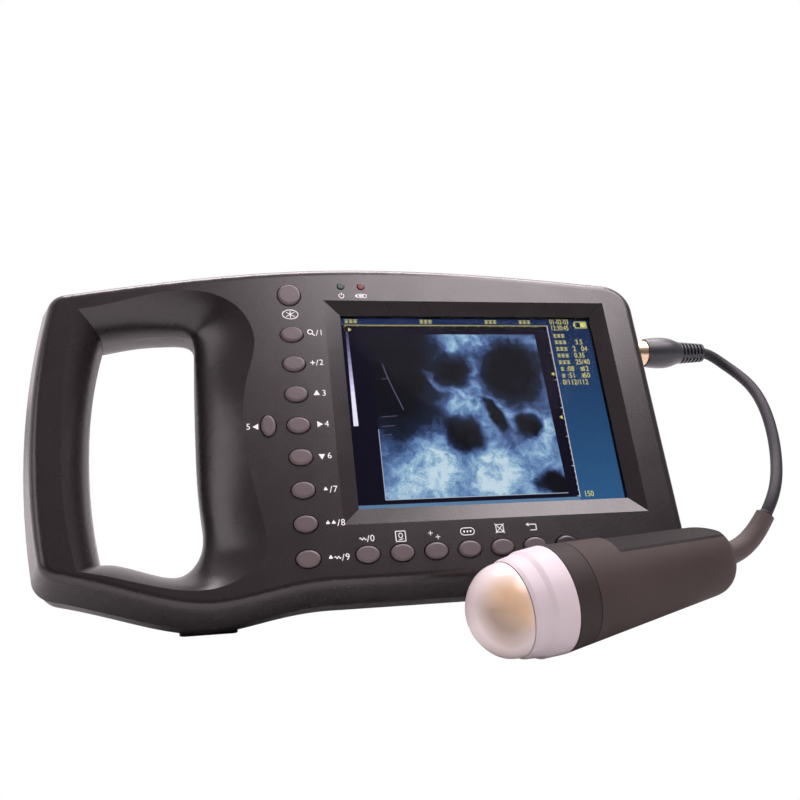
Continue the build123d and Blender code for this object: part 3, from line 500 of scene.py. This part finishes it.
def scan_material():
    """Soft speckled tissue with dark round pools, made of noise and a few ellipses."""
    look = Look("scan_picture")
    look.light_only()

    def seen_from(place, rotation, scale, source):
        """A vector as measured in a frame that is moved, turned and scaled."""
        mapping = look.node("ShaderNodeMapping", vector_type="TEXTURE")
        mapping.inputs["Location"].default_value = place
        mapping.inputs["Rotation"].default_value = rotation
        mapping.inputs["Scale"].default_value = scale
        look.link(source, mapping.inputs["Vector"])
        return mapping.outputs["Vector"]

    flat = seen_from(ORIGIN, PANEL.to_euler(), (MM, MM, MM), look.place)
    warp = look.node("ShaderNodeTexNoise")
    warp.inputs["Scale"].default_value = 0.12
    warp.inputs["Detail"].default_value = 3
    look.link(flat, warp.inputs["Vector"])
    shift = look.node("ShaderNodeVectorMath", operation="MULTIPLY_ADD")
    look.link(warp.outputs["Color"], shift.inputs[0])
    shift.inputs[1].default_value = (WARP, WARP, 0)
    look.link(flat, shift.inputs[2])
    bent = shift.outputs["Vector"]

    def outside(x, y, width, height, turn):
        """0 inside an ellipse and 1 outside it, with a soft warped rim."""
        place = (x + WARP / 2, y + WARP / 2, 0)
        inner = seen_from(place, (0, 0, math.radians(turn)), (width / 2, height / 2, 1000), bent)
        away = look.node("ShaderNodeVectorMath", operation="LENGTH")
        look.link(inner, away.inputs[0])
        return look.spread(away.outputs["Value"], 0, 1, 1 - POOL_SOFT, 1 + POOL_SOFT)

    streaks = look.noise(0.35, 4, 0.5, bent)

    def lighten(base, places):
        for place in places:
            inside = look.combine("SUBTRACT", 1.0, outside(*place))
            light = look.combine("MULTIPLY", inside, look.spread(streaks, 0.16, 0.36))
            base = look.combine("ADD", base, light)
        return base

    tissue = look.spread(look.noise(0.085, 4, 0.5, bent), 0.34, 0.62, 0.36, 0.66)
    tissue = look.combine("MULTIPLY", tissue, look.spread(streaks, 0.75, 1.15))
    separate = look.node("ShaderNodeSeparateXYZ")
    look.link(flat, separate.inputs[0])
    tissue = look.combine("ADD", tissue, look.spread(separate.outputs["Y"], 0.3, 0.0, -40, 4))
    tissue = lighten(tissue, BRIGHTS)
    for place in POOLS:
        tissue = look.combine("MULTIPLY", tissue, outside(*place))
    tissue = lighten(tissue, FINGERS)
    tissue = look.combine("MULTIPLY", tissue, look.spread(look.noise(2.2, 2, 0.6, flat), 0.86, 1.1))
    ramp = look.node("ShaderNodeValToRGB")
    stops = ramp.color_ramp.elements
    stops[0].color = SCAN_TONES[0][1]
    stops[1].color = SCAN_TONES[-1][1]
    for position, colour in SCAN_TONES[1:-1]:
        stops.new(position).color = colour
    look.link(tissue, ramp.inputs["Fac"])
    look.drive("Emission Color", ramp.outputs["Color"])
    look.set(Emission_Strength=1.0)
    return look.material


# ------------------------------------------------------------------ what the display shows
# u and v are fractions of the display, from its left edge and from its top edge.
DISPLAY_Z = 32.45               # just over the LCD, under the window
LAYER = 0.04                    # step between layers of the picture
PICTURE_Z = DISPLAY_Z + LAYER
DRAWN_Z = DISPLAY_Z + 2 * LAYER
SIDE_U = 0.825                  # left edge of the column of figures
HEAD_V = 0.037                  # bottom of the head band
STRIP_V = 0.974                 # top of the foot strip
SCAN_CORNERS = ((0.102, 0.952), (0.782, 0.952), (0.765, 0.088), (0.108, 0.088))
ECHO_LINE = ((0.145, 0.25), (0.160, 0.33), (0.178, 0.40), (0.205, 0.50))
ECHOES = ((0.135, 0.335, 0.03), (0.118, 0.535, 0.06), (0.116, 0.585, 0.05), (0.116, 0.63, 0.035))
FLAGS = ((0.035, 0.062, 1), (0.812, 0.315, -1), (0.812, 0.555, -1))     # u, v, way it points
WEDGE_STEPS = 14
WEDGE_U = 0.024
WEDGE_TOP, WEDGE_LENGTH = 0.075, 0.505
FIGURE_SIZE = 3.5
ROWS = (
    ("01-02-03", 0.838, 0.014), ("12:30:45", 0.838, 0.050), ("3.5", 0.93, 0.133),
    ("2   04", 0.915, 0.172), ("0.35", 0.915, 0.210), ("25/40", 0.915, 0.248),
    (":08    :12", 0.872, 0.287), (":51    :50", 0.872, 0.325), ("0/112/112", 0.845, 0.363),
    ("150", 0.842, 0.962),
)
HEAD_ROWS = 2                   # the first rows, which are set narrower
CAPTIONS = (
    (0.02, 0.015, 3), (0.31, 0.015, 3), (0.57, 0.015, 3), (0.71, 0.015, 3), (0.843, 0.095, 3),
    *((0.845, 0.133 + 0.0385 * row, 3) for row in range(4)),
    (0.848, 0.287, 1), (0.848, 0.325, 1), (0.930, 0.287, 1), (0.930, 0.325, 1),
)                               # u, v, number of blocks


def across(u, v):
    """A display place, as panel millimetres."""
    return ((u - 0.5) * DISPLAY_W, (0.5 - v) * DISPLAY_H)


def box_at(u, v, half_u, half_v):
    """A rectangle round a display place."""
    return rectangle(*across(u - half_u, v + half_v), *across(u + half_u, v - half_v))


def display_plate(name, u0, v0, u1, v1, layer, material):
    flat_mesh(name, [rectangle(*across(u0, v1), *across(u1, v0))], DISPLAY_Z + layer * LAYER, material)


def display_fields():
    """The dark field with its blue head, side column and foot strip."""
    night = glow("display_night", linear(15, 12, 30), 0.06)
    head = glow("display_band", linear(26, 42, 84), 0.06)
    foot = glow("display_foot", linear(92, 126, 160), 0.06)
    column = gradient_glow("display_column", linear(20, 34, 76), linear(44, 90, 134))
    display_plate("display_field", 0, 0, 1, 1, 0, night)
    display_plate("display_head", 0, 0, SIDE_U, HEAD_V, 1, head)
    display_plate("display_side", SIDE_U, 0, 1, 1, 1, column)
    display_plate("display_strip", 0, STRIP_V, SIDE_U, 1, 1, foot)


def scan():
    """The scan picture, the pale lines along two of its sides and the faint echoes beside it."""
    flat_mesh("scan_picture", [[across(*corner) for corner in SCAN_CORNERS]], PICTURE_Z, scan_material())
    left, bottom = SCAN_CORNERS[0]
    edge = band([across(left + 0.002, 0.60), across(left, bottom), across(*SCAN_CORNERS[1])], 0.3)
    flat_mesh("scan_edges", edge, DRAWN_Z, glow("display_faint", linear(168, 180, 196)))
    echoes = band([across(*point) for point in ECHO_LINE], 0.42)
    for u, v, run in ECHOES:
        echoes += band([across(u, v), across(u + run, v - 0.004)], 0.26)
    flat_mesh("scan_echoes", echoes, DRAWN_Z, glow("display_dusk", linear(92, 86, 116), 0.1))


def rules(yellow):
    """The ruled lines over the picture and to its right, and the flags on them."""
    across_steps, down_steps = 17, 30
    start_u, end_v = 0.02, 0.97
    half_u, half_v, mark_v = 0.0011, 0.0014, 0.0012     # half the width of the lines and the marks
    ticks = [rectangle(*across(start_u - 0.002, HEAD_V + half_v), *across(SIDE_U, HEAD_V - half_v))]
    for i in range(across_steps + 1):
        u = start_u + (SIDE_U - start_u) * i / across_steps
        ticks.append(box_at(u, HEAD_V + 0.0035, 0.0015, 0.0045))
    flat_mesh("top_rule", ticks, DRAWN_Z, yellow)
    marks = [rectangle(*across(SIDE_U - half_u, end_v + 0.005), *across(SIDE_U + half_u, HEAD_V))]
    for i in range(down_steps + 1):
        v = HEAD_V + (end_v - HEAD_V) * i / down_steps
        run = 0.010 if i % 5 == 0 else 0.005
        marks.append(rectangle(*across(SIDE_U - run, v + mark_v), *across(SIDE_U, v - mark_v)))
    flat_mesh("side_rule", marks, DRAWN_Z, glow("display_pale", linear(232, 230, 244)))
    flags = []
    for u, v, way in FLAGS:
        x, y = across(u, v)
        flags.append([(x - way * 0.5, y - 0.9), (x - way * 0.5, y + 0.9), (x + way * 0.9, y)][::way])
    flat_mesh("rule_flags", flags, DRAWN_Z, yellow)


def grey_wedge():
    """A strip of steps from dark to light that widens downwards."""
    for i in range(WEDGE_STEPS):
        top, bottom = (WEDGE_TOP + WEDGE_LENGTH * k / WEDGE_STEPS for k in (i, i + 1))
        value = int(60 + 190 * min(1, 1.4 * (i + 1) / WEDGE_STEPS))
        half = 0.0045 + 0.0045 * i / WEDGE_STEPS
        tone = glow(f"wedge_{i}", linear(value * 0.95, value * 0.93, min(255, value + 24)), 0.02)
        display_plate(f"grey_wedge_{i}", WEDGE_U - half, top, WEDGE_U + half, bottom, 2, tone)


def captions():
    """Blocks that stand for the captions of the display's fields."""
    pitch, wide, outer, inner, bar = 1.9, 1.5, 0.85, 0.55, 0.15
    blocks = []
    for u, v, count in CAPTIONS:
        x, y = across(u, v)
        for k in range(count):
            left = x + k * pitch
            right = left + wide
            mid = (left + right) / 2
            blocks += [
                rectangle(left, y + inner, right, y + outer),
                rectangle(left, y - outer, right, y - inner),
                rectangle(mid - bar, y - 0.5, mid + bar, y + 0.5),
                rectangle(left, y - bar, right, y + bar),
            ]
    flat_mesh("field_captions", blocks, DRAWN_Z, glow("caption_yellow", linear(206, 202, 118)))


def figures(yellow):
    """The display's generic figures and its battery sign."""
    for i, (text, u, v) in enumerate(ROWS):
        squeeze = 0.72 if i < HEAD_ROWS else 0.84
        written(f"figures_{i}", text, *across(u, v), FIGURE_SIZE, DRAWN_Z, yellow, squeeze)
    x, y = across(0.970, 0.030)
    cell = band(rectangle(x - 3.0, y - 1.5, x + 2.4, y + 1.5), 0.35, closed=True)
    cell += [rectangle(x - 0.4, y - 1.1, x + 2.0, y + 1.1), rectangle(x - 3.7, y - 0.7, x - 3.1, y + 0.7)]
    flat_mesh("battery_sign", cell, DRAWN_Z, yellow)


def display():
    yellow = glow("display_yellow", linear(222, 216, 120))
    display_fields()
    scan()
    rules(yellow)
    grey_wedge()
    captions()
    figures(yellow)


# ------------------------------------------------------------------ signs printed by the keys
INK_Z = FACE_Z + 0.02
INK_SIZE = 3.6                  # height of the figures beside the keys
STROKE = 0.3                    # usual width of a drawn line
OUTLINE = 0.35                  # width of the line round a larger sign
SLASH_HALF = 1.3                # half the height of the stroke between a sign and its figure
LAMP_GAP = 4.3                  # from between the two lamps to either one


def arrow(x, y, turn, size=1.5):
    """A filled triangle that points up, or turned from there."""
    points = []
    for angle in (90, 210, 330):
        way = math.radians(angle + turn)
        points.append((x + size * math.cos(way), y + size * math.sin(way)))
    return points


def fan(x, y, reach=1.5):
    """A sector that opens downwards, the generic sign of a fan-shaped scan."""
    tip = y + 1.15
    return [(x, tip)] + arc(x, tip, 2 * reach, 2 * reach, 9, 235, 305)


def wave(x, y, width, height=1.1, steps=8):
    """A zigzag of two waves from x to the right."""
    points = []
    for i in range(steps + 1):
        points.append((x + width * i / steps, y + height / 2 * math.sin(i * math.pi / 2)))
    return band(points, 0.32)


def slash(x, y):
    """The stroke between a sign and its figure."""
    return band([(x, y - SLASH_HALF), (x + 0.8, y + SLASH_HALF)], STROKE)


def plus_sign(x, y, half, thin):
    level = rectangle(x - half, y - thin, x + half, y + thin)
    return [level, rectangle(x - thin, y - half, x + thin, y + half)]


def crossed(x, y, half_w, half_h, width):
    """Two strokes that cross."""
    rising = band([(x - half_w, y - half_h), (x + half_w, y + half_h)], width)
    return rising + band([(x - half_w, y + half_h), (x + half_w, y - half_h)], width)


def box_sign(x, y, half_w, half_h):
    return band(rectangle(x - half_w, y - half_h, x + half_w, y + half_h), OUTLINE, closed=True)


def ring(x, y, width, height, steps, stroke):
    return band(disc(x, y, width, height, steps), stroke, closed=True)


def power_sign(x, y, size, stroke, top):
    """An open ring with a bar through its gap."""
    opening = band(arc(x, y, size, size, 14, 120, 420), stroke)
    return opening + [rectangle(x - stroke / 2, y + 0.2, x + stroke / 2, y + top)]


def stamp(name, polygons):
    flat_mesh("sign_" + name, polygons, INK_Z, INK)


def figure(name, text, x, y):
    written("figure_" + name, text, x, y, INK_SIZE, INK_Z, INK)


def beside(key, lift=0.0):
    """A key's middle on the panel, or a place above it."""
    point = on_panel(middle("key_" + key))
    return point.x, point.y + lift


def numbered(key, polygons, x, y, text, gap=1.2):
    """A key's sign, a slash at x and a figure after it."""
    stamp(key, polygons + slash(x, y))
    figure(key, text, x + gap, y)


def column_signs():
    """The signs to the right and left of the column of keys."""
    x, y = beside("freeze", -8.4)
    spokes = band([(x, y - 1.6), (x, y + 1.6)], OUTLINE) + crossed(x, y, 1.7, 1.0, STROKE)
    stamp("freeze", ring(x, y, 6.4, 4.2, 28, OUTLINE) + spokes)
    x, y = beside("zoom", 1.5)
    lens = ring(x + 7.6, y + 0.4, 2.0, 2.0, 16, 0.4) + band([(x + 8.3, y - 0.3), (x + 9.4, y - 1.3)], 0.5)
    numbered("zoom", lens, x + 10.0, y, "1")
    x, y = beside("plus", 1.2)
    numbered("plus", plus_sign(x + 7.6, y, 1.0, 0.2), x + 9.0, y, "2")
    for key, turn, text in (("up", 0, "3"), ("right", -90, "4"), ("down", 180, "6")):
        x, y = beside(key, 0.9)
        stamp(key, [arrow(x + 8.2, y, turn)])
        figure(key, text, x + 10.3, y)
    x, y = beside("left", 0.3)
    stamp("left", [arrow(x - 4.6, y, 90)])
    figure("left", "5", x - 8.6, y)
    x, y = beside("b", 0.5)
    numbered("b", [fan(x + 8.6, y)], x + 10.2, y, "7")
    x, y = beside("bb", 0.5)
    numbered("bb", [fan(x + 8.4, y), fan(x + 10.6, y)], x + 12.0, y, "8")
    x, y = beside("bm", 0.5)
    numbered("bm", [fan(x + 8.4, y)] + wave(x + 9.8, y, 2.4), x + 12.6, y, "9")


def row_signs():
    """The signs over the row of keys, and under its last one."""
    x, y = beside("m", 6.6)
    numbered("m", wave(x - 2.6, y, 2.6), x + 0.3, y, "0", 1.1)
    x, y = beside("bodymark", 6.9)
    mark = ring(x, y + 0.3, 1.5, 1.9, 14, STROKE) + band([(x - 0.9, y - 1.5), (x + 0.9, y - 1.0)], STROKE)
    stamp("bodymark", box_sign(x, y, 1.9, 2.0) + mark)
    x, y = beside("measure", 6.75)
    stamp("measure", plus_sign(x - 1.5, y + 0.8, 0.9, 0.15) + plus_sign(x + 1.3, y - 0.8, 0.9, 0.15))
    x, y = beside("text", 7.5)
    pill = arc(x + 1.4, y, 2.8, 2.8, 9, -90, 90) + arc(x - 1.4, y, 2.8, 2.8, 9, 90, 270)
    dots = [disc(x + 1.3 * k, y, 0.7, 0.9, 10) for k in (-1, 0, 1)]
    stamp("text", band(pill, 0.32, closed=True) + dots)
    x, y = beside("clear", 8.1)
    stamp("clear", box_sign(x, y, 1.5, 1.5) + crossed(x, y, 1.9, 1.9, 0.32))
    x, y = beside("enter", 7.95)
    hook = [(x - 1.6, y + 1.15), (x + 1.8, y + 1.15), (x + 1.8, y - 1.15), (x - 0.8, y - 1.15)]
    stamp("enter", band(hook, 0.4) + [arrow(x - 1.6, y + 1.15, 90, 0.9)])
    x, y = beside("power", -6.6)
    stamp("power", power_sign(x, y, 2.6, 0.36, 1.9))


def lamp_signs():
    """A power sign and a battery sign under the two lamps."""
    lamps = on_panel(middle("lamp_lenses"))
    y = lamps.y - 4.2
    stamp("power_lamp", power_sign(lamps.x - LAMP_GAP, y, 2.2, 0.32, 1.6))
    x = lamps.x + LAMP_GAP
    cell = band(rectangle(x - 2.0, y - 0.8, x + 2.0, y + 0.8), 0.32, closed=True)
    cell += [rectangle(x - 1.2, y - 0.35, x + 0.9, y + 0.35), rectangle(x - 2.7, y - 0.5, x - 2.1, y + 0.5)]
    stamp("charge_lamp", cell)


# ------------------------------------------------------------------ stage
FLOOR_HALF = 3.0
FLOOR_DROP = 0.0002             # the floor lies just under the object's feet

LAMP_TINT = (1.0, 0.90, 0.94)
LAMP_AIM = (0, 0, 0.06)
LAMPS = (                       # name, place, width, height, watts
    ("key_box", (0.42, -0.25, 0.95), 0.82, 0.50, 9),
    ("top_box", (0.1, 0.4, 0.9), 0.9, 0.35, 10),
    ("left_box", (-0.9, -0.3, 0.45), 0.4, 0.6, 1.6),
)

SKY_TOP = (0.2, 0.2, 0.96)      # where the dim sky is lightest
SKY_LOW, SKY_HIGH = 0.05, 0.38
SKY_BACK = (-0.25, 0.97, 0.0)   # where the rim light comes from
SKY_RIM = 1.1


def show_to_camera(tree, seen_light, other_light, target):
    """Show one light to the camera and give the object another."""
    seen = tree.nodes.new("ShaderNodeMixShader")
    path = tree.nodes.new("ShaderNodeLightPath")
    tree.links.new(path.outputs["Is Camera Ray"], seen.inputs["Fac"])
    tree.links.new(other_light, seen.inputs[1])
    tree.links.new(seen_light, seen.inputs[2])
    tree.links.new(seen.outputs["Shader"], target.inputs["Surface"])


def stage_floor():
    """A floor: plain white to the camera, and a dull bounce to the object."""
    look = Look("floor")
    look.drive("Base Color", look.mix(look.noise(3, 2), linear(220, 220, 220), linear(224, 224, 224)))
    look.set(Roughness=0.9)
    paper = look.node("ShaderNodeEmission").outputs["Emission"]
    show_to_camera(look.tree, paper, look.shader.outputs["BSDF"], look.tree.nodes["Material Output"])
    corners = rectangle(-FLOOR_HALF, -FLOOR_HALF, FLOOR_HALF, FLOOR_HALF)
    verts = [(x, y, -FLOOR_DROP) for x, y in corners]
    make_object("floor", verts, [(0, 1, 2, 3)], look.material)


def sky():
    """White to the camera; for the object a dim sky, lighter overhead and behind, for a pale rim."""
    world = bpy.data.worlds.new("studio")
    world.use_nodes = True
    tree = world.node_tree
    place = tree.nodes.new("ShaderNodeTexCoord").outputs["Generated"]

    def towards(way, start, stop, low, high):
        """Light that rises from low to high towards a direction."""
        along = tree.nodes.new("ShaderNodeVectorMath")
        along.operation = "DOT_PRODUCT"
        tree.links.new(place, along.inputs[0])
        along.inputs[1].default_value = way
        ramp = tree.nodes.new("ShaderNodeMapRange")
        ramp.inputs["From Min"].default_value = start
        ramp.inputs["From Max"].default_value = stop
        ramp.inputs["To Min"].default_value = low
        ramp.inputs["To Max"].default_value = high
        tree.links.new(along.outputs["Value"], ramp.inputs["Value"])
        return ramp.outputs["Result"]

    total = tree.nodes.new("ShaderNodeMath")
    total.operation = "ADD"
    tree.links.new(towards(SKY_TOP, -0.2, 1.0, SKY_LOW, SKY_HIGH), total.inputs[0])
    tree.links.new(towards(SKY_BACK, 0.1, 0.6, 0.0, SKY_RIM), total.inputs[1])
    dim = tree.nodes["Background"]
    dim.inputs["Color"].default_value = (*LAMP_TINT, 1)
    tree.links.new(total.outputs["Value"], dim.inputs["Strength"])
    white = tree.nodes.new("ShaderNodeBackground")
    white.inputs["Color"].default_value = (1, 1, 1, 1)
    show_to_camera(tree, white.outputs["Background"], dim.outputs["Background"], tree.nodes["World Output"])
    bpy.context.scene.world = world


def area_light(name, place, width, height, power):
    """A soft box that faces the object."""
    light = bpy.data.lights.new(name, "AREA")
    light.shape = "RECTANGLE"
    light.size = width
    light.size_y = height
    light.energy = power
    light.color = LAMP_TINT
    obj = bpy.data.objects.new(name, light)
    obj.location = place
    obj.rotation_euler = (Vector(LAMP_AIM) - Vector(place)).to_track_quat("-Z", "Y").to_euler()
    bpy.context.collection.objects.link(obj)


def studio():
    stage_floor()
    sky()
    for lamp in LAMPS:
        area_light(*lamp)
    bpy.context.scene.view_settings.view_transform = "Standard"
    bpy.context.scene.view_settings.look = "None"


# ------------------------------------------------------------------ camera
CAMERA_PLACE = (-127.4, -149.8, 378.5)      # panel frame
CAMERA_AIM = (-35.0, 3.3, 35.0)
CAMERA_LENS = 42.73
CAMERA_SENSOR = 36.0


def camera():
    data = bpy.data.cameras.new("camera")
    data.lens = CAMERA_LENS
    data.sensor_width = CAMERA_SENSOR
    data.clip_start = 0.01
    obj = bpy.data.objects.new("camera", data)
    place = panel(*CAMERA_PLACE)
    aim = panel(*CAMERA_AIM)
    obj.location = place
    obj.rotation_euler = (aim - place).to_track_quat("-Z", "Y").to_euler()
    bpy.context.collection.objects.link(obj)
    bpy.context.scene.camera = obj


paint_cad()
display()
column_signs()
row_signs()
lamp_signs()
studio()
camera()
